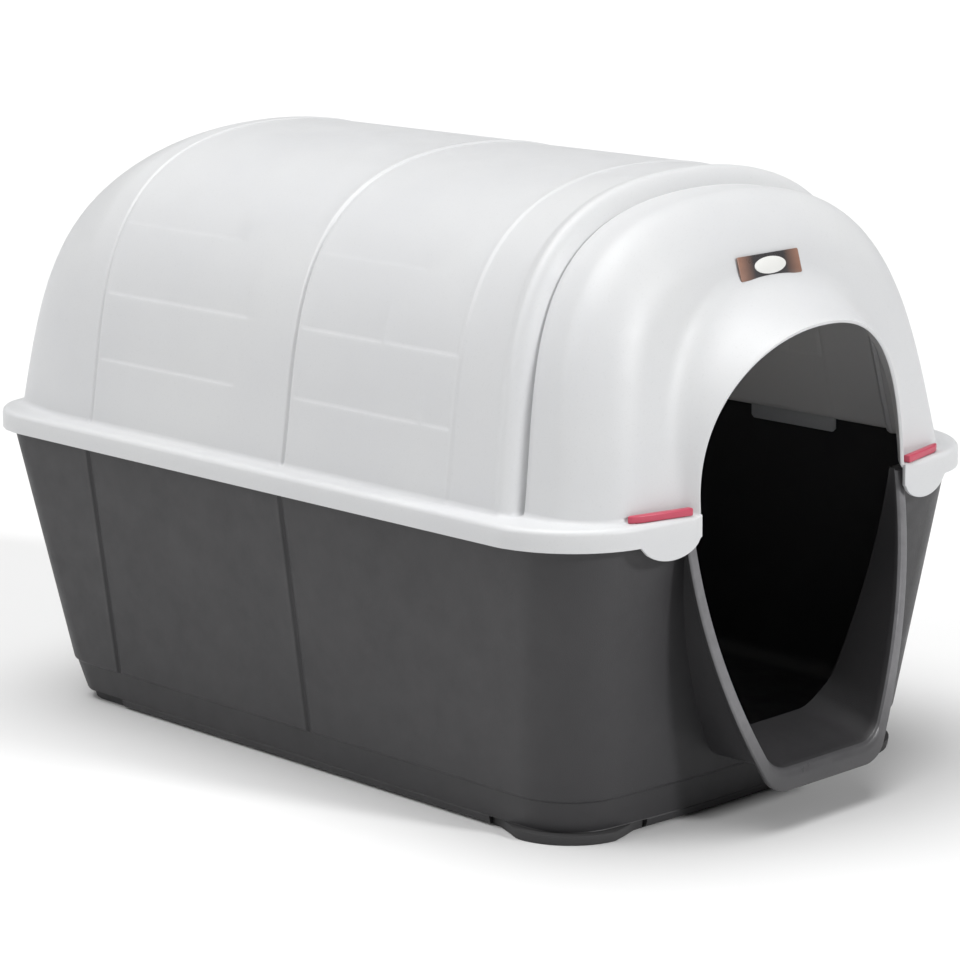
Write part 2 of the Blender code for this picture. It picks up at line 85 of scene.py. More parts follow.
# From the barrel's ridge to the groove at the hood: offset along the house from STEP_Y, and sink
STEP_PROFILE = (
    (0.0180, 0.0002), (0.0140, -0.0006), (0.0100, -0.0002), (0.0070, 0.0014), (0.0044, 0.0040),
    (0.0022, 0.0072), (0.0004, 0.0108), (-0.0012, 0.0146), (-0.0026, 0.0184), (-0.0036, 0.0212),
    (-0.0042, 0.0232), (-0.0050, 0.0236), (-0.0058, 0.0226), (-0.0066, 0.0206), (-0.0080, 0.0200),
)
HOOD_FACE_Y = -0.510
HOOD_LEAN = 0.110
HOOD_CURL = 0.360
HOOD_DEPTH = 0.086
HOOD_RADIUS = 0.065
ROUNDING_STEPS = 14

DOOR_HALF = 0.172
DOOR_SPRING_Z = 0.3888
DOOR_RISE = 0.1847
DOOR_POWER = 2.13
DOOR_EDGE_Y = -0.5622
DOOR_EDGE_LEAN = 0.0668
DOOR_EDGE_BOW = 0.1859
COLLAR_HALF = 0.193
COLLAR_SPRING_Z = 0.400
COLLAR_RISE = 0.212
COLLAR_POWER = 2.3
COLLAR_WALL = 0.005
CREASE_BLEND = 0.024
TAB_X = 0.2205
TAB_HALF = 0.041
TAB_DROP = 0.020

KEY_X = 0.228
KEY_SETBACK = 0.011
KEY_TURN = 0.225
KEY_SIZE = (0.083, 0.0085, 0.0085)
KEY_BLADE = (0.064, 0.003, 0.022)
KEY_GAP = 0.0003
SLOT_ROOM = 0.001
SLOT_DEPTH = 0.020

TONGUE_ENDS = (-0.142, -0.280)
TONGUE_GAP = 0.003

TUB_SETBACK = 0.0212
TUB_FRONT_RADIUS = 0.070
TUB_REAR_RADIUS = 0.051
SIDE_DRAFT = 0.134
FRONT_DRAFT = 0.153
REAR_DRAFT = 0.190
TUB_TOP_Z = tub_high.z
SKIRT_LOW_Z = 0.003
SKIRT_TOP_Z = 0.052
SKIRT_INSET = 0.003
SKIRT_FOOT_INSET = 0.008
FLOOR_Z = 0.055
FLOOR_FILLET = 0.020

PORCH_FRONT = tub_low.y
PORCH_SLOPE = 0.1565
PORCH_HALF_LOW = 0.0924
PORCH_SPREAD = 0.1988
PORCH_CURL = 0.1012
PORCH_LOW_Z = 0.048
PORCH_CORNER = 0.040
BAND_TOP = 0.013
BAND_FLARE = 0.008
BAND_LOW = 0.0265
BAND_THICK = 0.007
BAND_ROLL = 0.0028
SILL_FALL = 0.022
PASSAGE_ENDS = (-0.60, -0.42)

PAD_TOP_Z = 0.012
PAD_FRONT_INSET = -0.004
PAD_REAR_INSET = 0.015
PAD_END_INSET = 0.0135
CORNERS = ("front_left", "front_right", "rear_left", "rear_right")
BADGE_SIZE = (0.104, 0.0016, 0.028)
BADGE_OVAL = (0.0265, 0.0098)
BADGE_FIELD = 0.001
BADGE_GAP = 0.001
BADGE_Z = 0.632

# Seams and boards of the roof: positions along the length, and heights over the rim
REAR_SEAM_Y = 0.357
MID_SEAM_Y = -0.005
HOOP_Y = -0.284
BOARD_HEIGHTS = (0.080, 0.161, 0.245)
BOARD_TOP = 0.315
BOARD_SINK = 0.0011
FAINT_BOARD = 0.45
# Runs of board edges along the house: start, end, weight, and which boards they belong to
BOARD_RUNS = (
    (REAR_SEAM_Y - 0.006, 0.096, 1.0, (1,)),
    (REAR_SEAM_Y - 0.006, 0.084, 1.0, (2,)),
    (REAR_SEAM_Y - 0.006, 0.132, FAINT_BOARD, (0, 3)),
    (MID_SEAM_Y - 0.008, -0.226, 1.0, (1,)),
    (MID_SEAM_Y - 0.008, -0.150, 1.0, (2,)),
    (-0.156, HOOP_Y + 0.006, 1.0, (2,)),
    (-0.230, HOOP_Y + 0.006, 1.0, (1,)),
    (MID_SEAM_Y - 0.008, -0.190, FAINT_BOARD, (3,)),
)


# ---------------------------------------------------------------- small maths helpers

def ramp(value, start, end):
    """0 before start, 1 after end, smooth between; start may be the larger."""
    share = np.clip((value - start) / (end - start), 0, 1)
    return share * share * (3 - 2 * share)


def bump(value, centre, half_width):
    """1 at the centre, falling smoothly to 0 at half_width either side."""
    return ramp(np.abs(value - centre), half_width, 0)


def bow(x):
    """How far the front falls back at x."""
    return FRONT_BOW * (x / HALF_WIDTH) ** 2


def tub_front(z):
    """Y of the tub's front wall at height z on the centre line."""
    return RIM_FRONT + TUB_SETBACK + (RIM_LOW_Z - z) * tan(FRONT_DRAFT)


def rim_front(x, inset=0.0):
    """Y of the rim's front face at x."""
    radius = RIM_FRONT_RADIUS - inset
    beyond = max(0.0, abs(x) - (HALF_WIDTH - RIM_FRONT_RADIUS))
    return RIM_FRONT + inset + bow(x) + radius - sqrt(radius ** 2 - beyond ** 2)


def hood_face(x, height):
    """Y of the hood's front wall."""
    return HOOD_FACE_Y + HOOD_LEAN * height + HOOD_CURL * height ** 2 + bow(x)


# ---------------------------------------------------------------- mesh helpers

WELD = 0.00002


def new_piece(name, mesh):
    """Link a mesh into the scene as an object."""
    piece = bpy.data.objects.new(name, mesh)
    bpy.context.scene.collection.objects.link(piece)
    return piece


def grid_mesh(name, points, wrap=False):
    """A quad mesh over an array of points (rows, columns, 3); wrap closes the columns into a tube."""
    rows, columns = points.shape[:2]
    index = np.arange(rows * columns).reshape(rows, columns)
    if wrap:
        index = np.hstack([index, index[:, :1]])
    faces = np.stack([index[:-1, :-1], index[:-1, 1:], index[1:, 1:], index[1:, :-1]], axis=-1)
    mesh = bpy.data.meshes.new(name)
    mesh.from_pydata(points.reshape(-1, 3).tolist(), [], faces.reshape(-1, 4).tolist())
    form = bmesh.new()
    form.from_mesh(mesh)
    bmesh.ops.remove_doubles(form, verts=form.verts, dist=WELD)
    bmesh.ops.dissolve_degenerate(form, edges=form.edges, dist=WELD / 2)
    bmesh.ops.recalc_face_normals(form, faces=form.faces)
    form.to_mesh(mesh)
    form.free()
    return mesh


def fill_holes(form):
    """Cap every open loop of a bmesh."""
    bmesh.ops.holes_fill(form, edges=[e for e in form.edges if e.is_boundary], sides=0)


def close_ends(mesh):
    """Cap the open ends of a tube and turn its faces outward."""
    form = bmesh.new()
    form.from_mesh(mesh)
    fill_holes(form)
    bmesh.ops.recalc_face_normals(form, faces=form.faces)
    form.to_mesh(mesh)
    form.free()


def shade_smooth(mesh, angle=None):
    """Shade a mesh smooth, with edges sharper than an angle in degrees kept sharp."""
    for polygon in mesh.polygons:
        polygon.use_smooth = True
    if angle is not None:
        mesh.set_sharp_from_angle(angle=radians(angle))


def paint(piece, *materials):
    """Give a piece its materials in place of any that it has."""
    piece.data.materials.clear()
    for material in materials:
        piece.data.materials.append(material)


def move(piece, *steps):
    """Move a piece's mesh by matrices, the last one first."""
    matrix = Matrix.Identity(4)
    for step in steps:
        matrix = matrix @ step
    piece.data.transform(matrix)


def settle(piece, smooth_angle=38):
    """Apply every modifier, then shade smooth with sharp edges kept."""
    bpy.context.view_layer.update()
    shaped = piece.evaluated_get(bpy.context.evaluated_depsgraph_get())
    mesh = bpy.data.meshes.new_from_object(shaped)
    piece.modifiers.clear()
    old = piece.data
    piece.data = mesh
    if old.users == 0:
        bpy.data.meshes.remove(old)
    shade_smooth(mesh, smooth_angle)
    return piece


def soften(piece, width, segments=2, angle=40):
    """Round the sharp edges of a piece."""
    modifier = piece.modifiers.new("soften", 'BEVEL')
    modifier.width = width
    modifier.segments = segments
    modifier.limit_method = 'ANGLE'
    modifier.angle_limit = radians(angle)


def box_cutter(name, size, place, turn=0.0):
    """A box used to cut another piece; it is removed once it has cut."""
    mesh = bpy.data.meshes.new(name)
    form = bmesh.new()
    bmesh.ops.create_cube(form, size=1)
    bmesh.ops.scale(form, vec=Vector(size), verts=form.verts)
    bmesh.ops.rotate(form, cent=(0, 0, 0), matrix=Matrix.Rotation(turn, 3, 'Z'), verts=form.verts)
    bmesh.ops.translate(form, vec=Vector(place), verts=form.verts)
    form.to_mesh(mesh)
    form.free()
    return new_piece(name, mesh)


def cut(piece, cutters):
    """Subtract cutters from a piece."""
    for cutter in cutters:
        modifier = piece.modifiers.new(cutter.name, 'BOOLEAN')
        modifier.operation = 'DIFFERENCE'
        modifier.solver = 'EXACT'
        modifier.object = cutter
    settle(piece)
    for cutter in cutters:
        bpy.data.objects.remove(cutter, do_unlink=True)


def join_into(piece, others):
    """Put other pieces' meshes into one object, keeping its material."""
    form = bmesh.new()
    form.from_mesh(piece.data)
    for other in others:
        form.from_mesh(other.data)
    form.to_mesh(piece.data)
    form.free()
    for other in others:
        bpy.data.objects.remove(other, do_unlink=True)
    return piece


# ---------------------------------------------------------------- materials

def node(tree, kind, **inputs):
    """A shader node with input values by name."""
    made = tree.nodes.new(kind)
    for key, value in inputs.items():
        made.inputs[key.replace("_", " ")].default_value = value
    return made


def grain(tree, coordinates, scale, detail=2.0, roughness=0.5):
    """A noise texture read in object space."""
    noise = node(tree, "ShaderNodeTexNoise", Scale=scale, Detail=detail, Roughness=roughness)
    tree.links.new(coordinates.outputs["Object"], noise.inputs["Vector"])
    return noise


def mix_colors(tree, factor, first, second):
    """Mix two colours (or colour sockets) by a factor socket."""
    mix = tree.nodes.new("ShaderNodeMix")
    mix.data_type = 'RGBA'
    tree.links.new(factor, mix.inputs["Factor"])
    for socket, value in ((mix.inputs[6], first), (mix.inputs[7], second)):
        if isinstance(value, tuple):
            socket.default_value = (*value, 1)
        else:
            tree.links.new(value, socket)
    return mix.outputs[2]


def span(tree, socket, low, high, new_low, new_high):
    """Map a value range to another, clamped."""
    mapping = node(tree, "ShaderNodeMapRange", From_Min=low, From_Max=high, To_Min=new_low, To_Max=new_high)
    tree.links.new(socket, mapping.inputs["Value"])
    return mapping.outputs["Result"]


def moulded_plastic(name, color, tint, roughness, grain_size, grain_depth, scuff=0.0, specular=0.5):
    """Moulded plastic: slow colour drift, fine pitted grain, and faint scuffs in the sheen."""
    made = bpy.data.materials.new(name)
    made.use_nodes = True
    tree = made.node_tree
    shader = tree.nodes["Principled BSDF"]
    shader.inputs["Specular IOR Level"].default_value = specular
    coordinates = tree.nodes.new("ShaderNodeTexCoord")

    drift = grain(tree, coordinates, 5.0, 3.0)
    shade = span(tree, drift.outputs["Fac"], 0.35, 0.65, 0.0, 1.0)
    base = mix_colors(tree, shade, color, tint)
    specks = grain(tree, coordinates, 420.0, 1.0)
    speck_share = span(tree, specks.outputs["Fac"], 0.62, 0.75, 0.0, 0.35)
    dark = tuple(c * 0.86 for c in color)
    base = mix_colors(tree, speck_share, base, dark)
    tree.links.new(base, shader.inputs["Base Color"])

    streaks = grain(tree, coordinates, 26.0, 6.0, 0.7)
    rough = span(tree, streaks.outputs["Fac"], 0.3, 0.7, roughness - 0.05 - scuff, roughness + 0.05)
    tree.links.new(rough, shader.inputs["Roughness"])

    pits = grain(tree, coordinates, 1.0 / grain_size, 3.0, 0.6)
    waves = grain(tree, coordinates, 14.0, 1.0)
    fine = node(tree, "ShaderNodeBump", Strength=1.0, Distance=grain_depth)
    tree.links.new(pits.outputs["Fac"], fine.inputs["Height"])
    broad = node(tree, "ShaderNodeBump", Strength=1.0, Distance=0.0006)
    tree.links.new(waves.outputs["Fac"], broad.inputs["Height"])
    tree.links.new(fine.outputs["Normal"], broad.inputs["Normal"])
    tree.links.new(broad.outputs["Normal"], shader.inputs["Normal"])
    return made


def open_up(material):
    """What a material needs for a second colour: tree, shader, first colour, coordinates, their parts."""
    tree = material.node_tree
    shader = tree.nodes["Principled BSDF"]
    dark = shader.inputs["Base Color"].links[0].from_socket
    coordinates = tree.nodes.new("ShaderNodeTexCoord")
    split = tree.nodes.new("ShaderNodeSeparateXYZ")
    tree.links.new(coordinates.outputs["Object"], split.inputs["Vector"])
    return tree, shader, dark, coordinates, split


def painted_highlight_edge(name):
    """The tub's plastic for the rolled front band, with a painted highlight: lighter, more so up the sides
    than along the bottom.
    """
    made = moulded_plastic(name, (0.030, 0.030, 0.032), (0.038, 0.037, 0.039), 0.40, 0.0014, 0.00018,
                           scuff=0.1)
    tree, shader, dark, coordinates, split = open_up(made)
    # Painted highlight: the lightening grows with height and is broken into random patches
    height = span(tree, split.outputs["Z"], 0.06, 0.15, 0.10, 0.9)
    highlight_noise = grain(tree, coordinates, 60.0, 5.0, 0.7)
    highlight_patches = span(tree, highlight_noise.outputs["Fac"], 0.25, 0.75, 0.75, 1.15)
    share = tree.nodes.new("ShaderNodeMath")
    share.operation = 'MULTIPLY'
    tree.links.new(height, share.inputs[0])
    tree.links.new(highlight_patches, share.inputs[1])
    tree.links.new(mix_colors(tree, share.outputs["Value"], dark, (0.16, 0.158, 0.165)),
                   shader.inputs["Base Color"])
    return made


def badge_print(name):
    """A printed plate: copper ends that fade into a dark middle, all by position along X."""
    made = moulded_plastic(name, (0.03, 0.03, 0.035), (0.05, 0.045, 0.045), 0.3, 0.0012, 0.00003)
    tree, shader, dark, coordinates, split = open_up(made)
    away = tree.nodes.new("ShaderNodeMath")
    away.operation = 'ABSOLUTE'
    tree.links.new(split.outputs["X"], away.inputs[0])
    ends = span(tree, away.outputs["Value"], 0.026, 0.050, 0.0, 1.0)
    cloud = grain(tree, coordinates, 90.0, 4.0)
    copper = mix_colors(tree, cloud.outputs["Fac"], (0.20, 0.10, 0.07), (0.32, 0.18, 0.13))
    tree.links.new(mix_colors(tree, ends, dark, copper), shader.inputs["Base Color"])
    return made


def let_light_through(material, share, reach):
    """Let some light through a thin wall: the share of it, and how far it reaches."""
    shader = material.node_tree.nodes["Principled BSDF"]
    shader.inputs["Subsurface Weight"].default_value = share
    shader.inputs["Subsurface Radius"].default_value = (1.0, 0.95, 0.9)
    shader.inputs["Subsurface Scale"].default_value = reach


WHITE = moulded_plastic("roof_white", (0.575, 0.58, 0.585), (0.555, 0.56, 0.57), 0.46, 0.0011, 0.00010)
let_light_through(WHITE, 0.25, 0.012)
CHARCOAL = moulded_plastic("tub_charcoal", (0.028, 0.0275, 0.0295), (0.033, 0.032, 0.034), 0.50, 0.0014,
                           0.00022, scuff=0.06, specular=0.42)
# Tub plastic with a painted highlight, for the porch's front band
PAINTED_HIGHLIGHT = painted_highlight_edge("tub_rolled_edge")
RED = moulded_plastic("key_red", (0.42, 0.045, 0.085), (0.48, 0.06, 0.10), 0.38, 0.0009, 0.00008)
RUBBER = moulded_plastic("pad_rubber", (0.030, 0.030, 0.032), (0.042, 0.041, 0.042), 0.78, 0.0008, 0.00018)
LABEL = moulded_plastic("badge_white", (0.72, 0.72, 0.70), (0.68, 0.68, 0.66), 0.35, 0.0010, 0.00004)
PRINT = badge_print("badge_print")


# ---------------------------------------------------------------- roof shell

def profile_table():
    """Dense samples of half the vault's cross-section by arc length: share, x, height, inward normal."""
    crown = CROWN_Z - RIM_TOP_Z
    corners = np.array([
        (FOOT_HALF_WIDTH, 0),
        (FOOT_HALF_WIDTH - WALL_REACH * sin(WALL_LEAN), WALL_REACH * cos(WALL_LEAN)),
        (SHOULDER_X, crown),
        (0, crown),
    ])
    t = np.linspace(0, 1, 1500)[:, None]
    s = 1 - t
    points = (s ** 3 * corners[0] + 3 * s * s * t * corners[1] + 3 * s * t * t * corners[2]
              + t ** 3 * corners[3])
    slope = (s * s * (corners[1] - corners[0]) + 2 * s * t * (corners[2] - corners[1])
             + t * t * (corners[3] - corners[2]))
    normal = np.column_stack([-slope[:, 1], slope[:, 0]])
    normal /= np.linalg.norm(normal, axis=1)[:, None]
    length = np.concatenate([[0], np.cumsum(np.linalg.norm(np.diff(points, axis=0), axis=1))])
    return length / length[-1], points, normal


TABLE_SHARE, TABLE_POINTS, TABLE_NORMALS = profile_table()


def column_shares():
    """Arc-length shares of the columns, foot to crown, close together at the board lines."""
    heights = TABLE_POINTS[:, 1]
    marks = [0.0, 0.010]
    for line in BOARD_HEIGHTS:
        for offset in (-0.0100, -0.0045, -0.0016, -0.0002, 0.0012, 0.0040, 0.0090):
            marks.append(float(np.interp(line + offset, heights, TABLE_SHARE)))
    shares = sorted(marks)
    filled = []
    for low, high in zip(shares, shares[1:] + [1.0]):
        pieces = max(1, int(round((high - low) / 0.0165)))
        filled += [low + (high - low) * k / pieces for k in range(pieces)]
    return np.array(filled + [1.0])


SHARES = column_shares()
PROFILE = np.column_stack([np.interp(SHARES, TABLE_SHARE, TABLE_POINTS[:, k]) for k in (0, 1)])
INWARD = np.column_stack([np.interp(SHARES, TABLE_SHARE, TABLE_NORMALS[:, k]) for k in (0, 1)])


def vault_half(y_at, inset):
    """Half a ring of the vault, foot to crown, as x, y and height over the rim."""
    drawn = PROFILE + np.asarray(inset).reshape(-1, 1) * INWARD
    low, high = drawn[0, 1], drawn[-1, 1]
    height = (drawn[:, 1] - low) / (high - low) * high
    x = drawn[:, 0]
    return np.column_stack([x, y_at(x, height), height])


def mirrored(half):
    """A whole row of points from its right half, right foot to left foot; rows of rows too."""
    left = half[-2::-1] * np.array([-1, 1, 1])
    return np.concatenate([half, left], axis=0)


def rear_face(height):
    """Y of the rear wall at a height over the rim."""
    return REAR_FACE_Y + REAR_SWELL * height - REAR_CURL * height ** 2


def rear_radius(height):
    """Rounding between the barrel and the rear wall, measured across the house."""
    return REAR_RADIUS_FOOT + REAR_RADIUS_GROWTH * height


def rear_reach(height):
    """The same rounding measured along the house."""
    return REAR_REACH_FOOT - REAR_REACH_LOSS * height - REAR_REACH_CURL * height ** 2


def board_sink(height, rows):
    """How far the boards' faces sink: each face curls in towards its lower edge. rows says which count."""
    sink = np.zeros_like(height)
    edges = (0.0,) + BOARD_HEIGHTS + (BOARD_TOP,)
    for row in rows:
        low, high = edges[row], edges[row + 1]
        share = np.clip((high - height) / (high - low), 0, 1)
        inside = ramp(height, low - 0.0006, low + 0.0006) * (height < high + 0.0001)
        sink = np.maximum(sink, share ** 2.2 * inside)
    return sink


def roof_relief(y, height):
    """Sink of the barrel's surface at a position along the length, for an array of heights."""
    sink = np.zeros_like(height)
    upper = ramp(height, 0.235, 0.300)
    # Each seam is a groove with a small step, and a bead beside it on the upper part of the vault
    for seam, depth, half, step, bead_y, bead, bead_half in (
            (MID_SEAM_Y, 0.0030, 0.0032, 0.0009, 0.0052, 0.0009, 0.0045),
            (REAR_SEAM_Y, 0.0015, 0.0026, 0.0007, 0.0045, 0.0006, 0.0040)):
        sink += bump(y, seam, half) * depth * (1 - 0.55 * upper)
        sink += step * ramp(y, seam + 0.001, seam - 0.002)
        sink -= bead * bump(y, seam + bead_y, bead_half) * upper
    sink += 0.0008 * ramp(y, HOOP_Y + 0.003, HOOP_Y - 0.003)
    sink -= 0.0005 * bump(y, HOOP_Y + 0.004, 0.006)
    for start, end, weight, rows in BOARD_RUNS:
        along = ramp(y, start, start - 0.003) * ramp(y, end - 0.0015, end + 0.0015)
        if along > 0:
            sink += BOARD_SINK * weight * along * board_sink(height, rows)
    return sink


def barrel_rows():
    """Foot positions of the barrel's rows, rear to front, close together at the seams."""
    marks = [0.372]
    for seam in (REAR_SEAM_Y, MID_SEAM_Y):
        marks += [seam + d for d in (0.0100, 0.0065, 0.0036, 0.0020, 0.0007, -0.0007, -0.0020, -0.0036,
                                     -0.0060, -0.0095)]
    marks += [HOOP_Y + d for d in (0.012, 0.0080, 0.0050, 0.0030, 0.0010, -0.0010, -0.0030, -0.008)]
    for end in (0.132, 0.096, 0.084, -0.150, -0.156, -0.190, -0.226, -0.230):
        marks += [end - 0.0015, end + 0.0015]
    marks += [-0.345, -0.352, -0.357]
    marks = sorted(set(marks), reverse=True)
    filled = []
    for high, low in zip(marks, marks[1:]):
        pieces = max(1, int(round((high - low) / 0.016)))
        filled += [high - (high - low) * k / pieces for k in range(pieces)]
    return filled + [marks[-1]]


def lean_at(y):
    """Lean of the cross lines, which grows towards the step."""
    return LINE_LEAN + (STEP_LEAN - LINE_LEAN) * float(ramp(y, -0.24, -0.375))


def arch_half(half, spring_z, rise, power, count_shares):
    """Half an arch from its foot on the rim to its top, sampled by arc-length share."""
    angle = np.linspace(0, pi / 2, 600)
    x = half * np.cos(angle) ** (2 / power)
    height = spring_z - RIM_TOP_Z + rise * np.sin(angle) ** (2 / power)
    leg = np.column_stack([np.full(40, half), np.linspace(0, spring_z - RIM_TOP_Z, 40)])
    points = np.vstack([leg[:-1], np.column_stack([x, height])])
    length = np.concatenate([[0], np.cumsum(np.linalg.norm(np.diff(points, axis=0), axis=1))])
    share = length / length[-1]
    return np.column_stack([np.interp(count_shares, share, points[:, k]) for k in (0, 1)])


def rear_rows():
    """The rear wall with its panel, and the rounding into the barrel."""
    rows = []
    edge = vault_half(lambda x, h: rear_face(h), rear_radius(PROFILE[:, 1]))
    for share in (0, 0.10, 0.22, 0.34, 0.46, 0.58, 0.68, 0.755, 0.775, 0.782, 0.80, 0.86, 0.93):
        ring = edge * np.array([share, 1, 1])
        panel = float(ramp(share, 0.785, 0.765))
        height = ring[:, 2]
        inside = panel * ramp(height, 0.268, 0.262) * ramp(height, 0.030, 0.036)
        ring[:, 1] -= inside * (REAR_PANEL_SINK + BOARD_SINK * board_sink(height, (0, 1, 2)))
        rows.append(ring)
    for step in range(ROUNDING_STEPS, -1, -1):
        angle = pi / 2 * step / ROUNDING_STEPS
        along = 1 - sin(angle) ** (2 / REAR_POWER)
        across = 1 - max(cos(angle), 0) ** (2 / REAR_POWER)
        rows.append(vault_half(lambda x, h: rear_face(h) - rear_reach(h) * along,
                               rear_radius(PROFILE[:, 1]) * across))
    return rows


def hood_rows():
    """The step at the barrel's front end, then the hood's short barrel and its rounding."""
    rows = []
    for offset, inset in STEP_PROFILE:
        rows.append(vault_half(lambda x, h: STEP_Y + offset + STEP_LEAN * h, inset))
    for y in (-0.3965, -0.406, -0.415):
        rows.append(vault_half(lambda x, h: y + STEP_LEAN * h, STEP_DEPTH))
    for step in range(ROUNDING_STEPS + 1):
        angle = pi / 2 * step / ROUNDING_STEPS
        lean = STEP_LEAN + (HOOD_LEAN - STEP_LEAN) * sin(angle)
        rows.append(vault_half(
            lambda x, h: (HOOD_FACE_Y + HOOD_DEPTH * (1 - sin(angle)) + lean * h
                          + (HOOD_CURL * h ** 2 + bow(x)) * sin(angle)),
            STEP_DEPTH + HOOD_RADIUS * (1 - cos(angle))))
    return rows


def collar_rows(outer):
    """The hood's face from its outer edge to the crease, and the door's collar out to its edge."""
    rows = []
    crease = arch_half(COLLAR_HALF, COLLAR_SPRING_Z, COLLAR_RISE, COLLAR_POWER, SHARES)
    door = arch_half(DOOR_HALF + COLLAR_WALL, DOOR_SPRING_Z, DOOR_RISE + COLLAR_WALL, DOOR_POWER, SHARES)

    def on_face(flat):
        return np.column_stack([flat[:, 0], hood_face(flat[:, 0], flat[:, 1]), flat[:, 1]])

    flat_outer = outer[:, [0, 2]]
    crease_point = on_face(crease)
    edge_y = DOOR_EDGE_Y + DOOR_EDGE_LEAN * door[:, 1] + DOOR_EDGE_BOW * (door[:, 0] / HALF_WIDTH) ** 2
    door_point = np.column_stack([door[:, 0], edge_y, door[:, 1]])
    way = crease - flat_outer
    reach = np.linalg.norm(way, axis=1)[:, None]
    stop = 1 - np.clip(CREASE_BLEND / reach, 0, 0.6)
    steps = 18
    for step in range(1, steps + 1):
        rows.append(on_face(flat_outer + way * stop * step / steps))
    before = rows[-1]
    out = door_point - crease_point
    after = crease_point + out * 0.50
    steps = 9
    for step in range(1, steps + 1):
        t = step / steps
        rows.append((1 - t) ** 2 * before + 2 * t * (1 - t) * crease_point + t * t * after)
    for share in (0.66, 0.82, 0.93, 1.0):
        rows.append(crease_point + out * share)
    return rows


def roof_half_rows():
    """Every row of the roof's outside, rear to door edge, as half rings of x, y and height."""
    rows = rear_rows()
    places = barrel_rows()
    first = vault_half(lambda x, h: places[0] + lean_at(places[0]) * h, 0)
    rows.append((rows[-1] + first) / 2)
    for y in places:
        lean = lean_at(y)
        sink = roof_relief(y, PROFILE[:, 1])
        rows.append(vault_half(lambda x, h: y + lean * h, sink))
    rows += hood_rows()
    return rows + collar_rows(rows[-1])


def rim_target(foot, inset):
    """The point of the rim's outline straight out from a foot point, drawn in by an inset."""
    x, y = abs(foot[0]), foot[1]
    if y > 0:
        radius, centre_x = RIM_REAR_RADIUS, HALF_WIDTH - RIM_REAR_RADIUS
        centre_y, sign, shift = RIM_REAR - radius, 1, 0.0
    else:
        radius, centre_x = RIM_FRONT_RADIUS, HALF_WIDTH - RIM_FRONT_RADIUS
        centre_y, sign, shift = RIM_FRONT + radius, -1, bow(x)
    beyond = (y - shift - centre_y) * sign
    if x <= centre_x:
        return np.array([x, centre_y + sign * (radius - inset) + shift])
    if beyond <= 0:
        return np.array([HALF_WIDTH - inset, y])
    away = np.array([x - centre_x, beyond])
    away *= (radius - inset) / np.linalg.norm(away)
    place_x = centre_x + away[0]
    return np.array([place_x, centre_y + sign * away[1] + (bow(place_x) if sign < 0 else 0.0)])


def tab_drop(x, y):
    """How far the rim's lower edge hangs down at a point of its outline."""
    if y > RIM_FRONT + 0.12:
        return 0.0
    along = (abs(x) - TAB_X) / TAB_HALF
    return TAB_DROP * max(0.0, 1 - along ** 2) ** 0.6


def rim_columns(ring):
    """Columns from the rim's lower edge, over its top and up a small fillet to the vault's wall."""
    foot = ring[0]
    outline = rim_target(foot, 0.0)
    flat = np.array([foot[0], foot[1]])
    reach = float(np.linalg.norm(outline - flat))
    edge = min(RIM_EDGE, 0.45 * reach)
    fillet = min(0.006, 0.30 * reach)
    rise = ring[1] - foot
    wall_point = foot + rise * min(0.9, fillet / float(np.linalg.norm(rise)))
    outward = (outline - flat) / reach
    base = np.array([foot[0], foot[1], 0.0])
    spread = base + np.append(outward * fillet, 0)
    inner = [rim_target(foot, edge * (1 - cos(a))) for a in (pi / 2, pi / 3, pi / 6, 0)]
    columns = []
    low = RIM_LOW_Z - tab_drop(*outline) - RIM_TOP_Z
    for z in (low, low + (-edge - low) * 0.12, (low - edge) / 2):
        columns.append(np.append(outline, z))
    for place, angle in zip(reversed(inner), (0, pi / 6, pi / 3, pi / 2)):
        columns.append(np.append(place, -edge * (1 - sin(angle))))
    top_edge = columns[-1]
    for share in (0.30, 0.65):
        columns.append(top_edge + (spread - top_edge) * share)
    for t in (0, 0.3, 0.65, 1.0):
        columns.append((1 - t) ** 2 * spread + 2 * t * (1 - t) * base + t * t * wall_point)
    return np.array(columns)


def roof_shell():
    """The whole roof moulding."""
    rows = []
    for ring in roof_half_rows():
        half = np.vstack([rim_columns(ring), ring[1:]])
        rows.append(mirrored(half))
    points = np.array(rows)
    points[:, :, 2] += RIM_TOP_Z
    mesh = grid_mesh("roof", points)
    roof = new_piece("roof", mesh)
    crown = max(mesh.polygons, key=lambda face: face.center.z)
    if crown.normal.z < 0:
        mesh.flip_normals()
    thick = roof.modifiers.new("thickness", 'SOLIDIFY')
    thick.thickness = WALL
    thick.offset = -1
    soften(roof, 0.0011, 2, 50)
    settle(roof)
    return roof


# ---------------------------------------------------------------- tub

CORNER_STEPS = 12
ACROSS_STEPS = 22


def outline_points(half, front, rear, front_radius, rear_radius, z, side_marks):
    """A closed rounded outline with a bowed front. side_marks are places along the length."""
    points = []

    def arc(centre_x, centre_y, radius, start, bowed):
        for step in range(CORNER_STEPS + 1):
            angle = start + pi / 2 * step / CORNER_STEPS
            x = centre_x + radius * cos(angle)
            y = centre_y + radius * sin(angle)
            points.append((x, y + bow(x) if bowed else y, z))

    low, high = front + front_radius + bow(half), rear - rear_radius
    side = [np.clip(mark, low + 0.0001 * i, high) for i, mark in enumerate(side_marks)]
    for y in side:
        points.append((half, y, z))
    inner = half - rear_radius
    arc(inner, high, rear_radius, 0, False)
    for step in range(1, ACROSS_STEPS):
        points.append((inner - 2 * inner * step / ACROSS_STEPS, rear, z))
    arc(-inner, high, rear_radius, pi / 2, False)
    for y in reversed(side):
        points.append((-half, y, z))
    inner = half - front_radius
    arc(-inner, front + front_radius, front_radius, pi, True)
    for step in range(1, ACROSS_STEPS):
        x = -inner + 2 * inner * step / ACROSS_STEPS
        points.append((x, front + bow(x), z))
    arc(inner, front + front_radius, front_radius, 1.5 * pi, True)
    return np.array(points)


